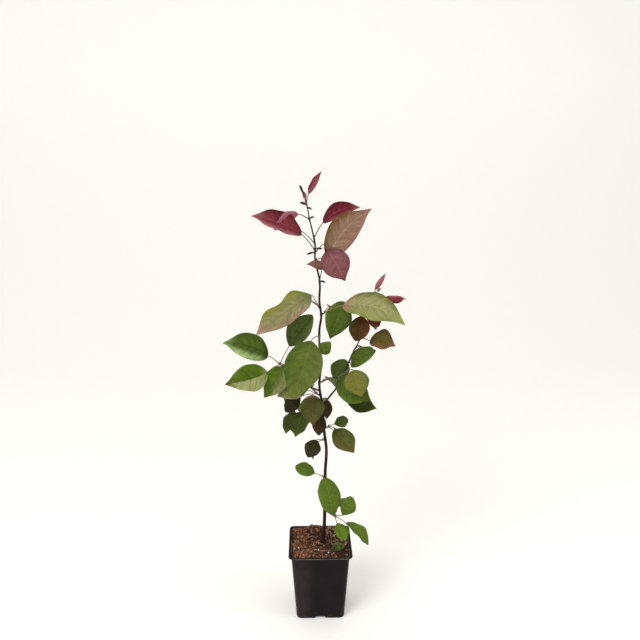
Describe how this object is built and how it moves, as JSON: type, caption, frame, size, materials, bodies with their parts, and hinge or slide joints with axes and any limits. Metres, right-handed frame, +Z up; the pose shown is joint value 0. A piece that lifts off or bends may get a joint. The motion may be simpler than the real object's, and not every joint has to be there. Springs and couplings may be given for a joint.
{
  "type": "potted crabapple",
  "caption": "Young crabapple whip with dark red new growth above green and olive leaves, standing in a square black nursery pot of compost.",
  "frame": {"origin": "middle of the pot's flat underside", "axes": "+Z up along the stem, +X to the plant's right as seen from its front, the front facing -Y"},
  "size_m": [0.3, 0.1483, 0.77],
  "materials": {
    "pot": "semi-matt black moulded plastic",
    "compost": "damp bark and peat",
    "bark": "smooth dark purple-brown bark",
    "ruby_leaf": "satin, dark red new growth",
    "olive_leaf": "satin, pale olive with a reddish edge",
    "green_leaf": "satin mid green",
    "dark_leaf": "satin very dark green",
    "bronze_leaf": "satin bronze green"
  },
  "bodies": {
    "root": {"pot": "pot", "compost": "compost", "trunk": "bark", "right_bough": "bark", "left_bough": "bark", "foot_bough": "bark", "leader_shoot": "ruby_leaf", "upper_left_leaves": "olive_leaf", "upper_right_leaves": "olive_leaf", "left_leaves": "green_leaf", "front_leaves": "green_leaf", "middle_left_leaves": "dark_leaf", "bough_foot_leaves": "green_leaf", "right_lower_leaves": "olive_leaf", "right_shoot": "bronze_leaf", "middle_front_leaves": "dark_leaf", "low_right_leaves": "olive_leaf", "low_left_leaves": "dark_leaf", "lowest_left_leaves": "green_leaf", "foot_leaves": "green_leaf"}
  },
  "joints": []
}
